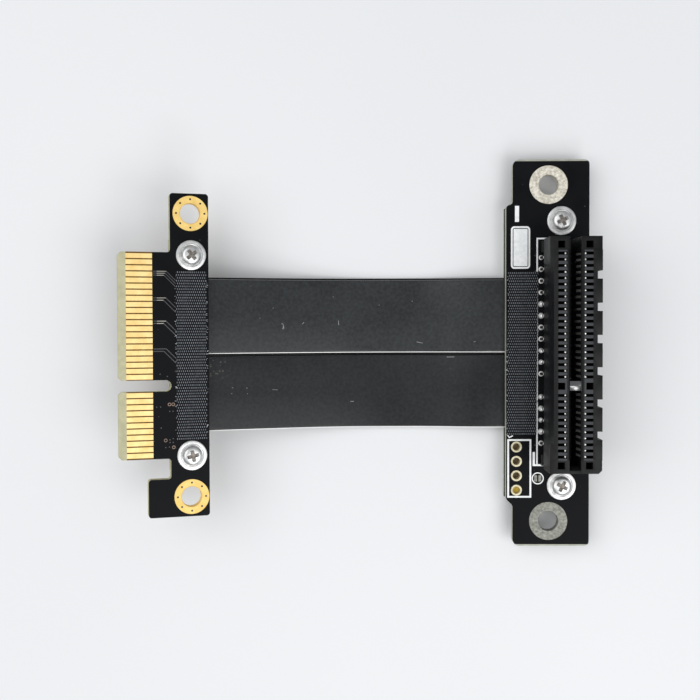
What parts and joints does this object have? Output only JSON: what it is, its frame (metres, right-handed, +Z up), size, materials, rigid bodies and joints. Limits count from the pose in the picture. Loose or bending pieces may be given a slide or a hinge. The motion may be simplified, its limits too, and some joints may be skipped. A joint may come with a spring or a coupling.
{
  "type": "card slot extension cable",
  "caption": "Flat black ribbon riser with a gold-fingered plug board at one end and an upright, open-ended card slot on a screwed socket board at the other.",
  "frame": {"origin": "on the table, under the middle of the line through the socket board's two screws", "axes": "+X from the plug board towards the socket board, +Y along the boards from the keyed end, +Z up out of the card slot"},
  "size_m": [0.0793, 0.0668, 0.0153],
  "materials": {
    "circuit_board": "black solder mask on glass-epoxy board",
    "slot_plastic": "moulded, satin",
    "spring_contact": "plated spring strip",
    "gold_plating": "gold plated",
    "tin_plating": "tinned",
    "screw_steel": "nickel plated",
    "standoff_metal": "tinned",
    "ribbon_jacket": "satin jacket",
    "cloth_tape": "woven"
  },
  "bodies": {
    "root": {"socket_board": "circuit_board", "plug_board": "circuit_board", "socket_cover_board": "circuit_board", "plug_cover_board": "circuit_board", "slot_housing": "slot_plastic", "slot_contacts_left": "spring_contact", "slot_contacts_right": "spring_contact", "plug_contacts_top": "gold_plating", "plug_contacts_bottom": "gold_plating", "socket_wire_ends": "tin_plating", "plug_wire_ends": "tin_plating", "socket_screws": "screw_steel", "plug_screws": "screw_steel", "socket_standoffs": "standoff_metal", "plug_standoffs": "standoff_metal", "upper_ribbon": "ribbon_jacket", "lower_ribbon": "ribbon_jacket", "socket_cloth_tape": "cloth_tape", "plug_cloth_tape": "cloth_tape"}
  },
  "joints": []
}
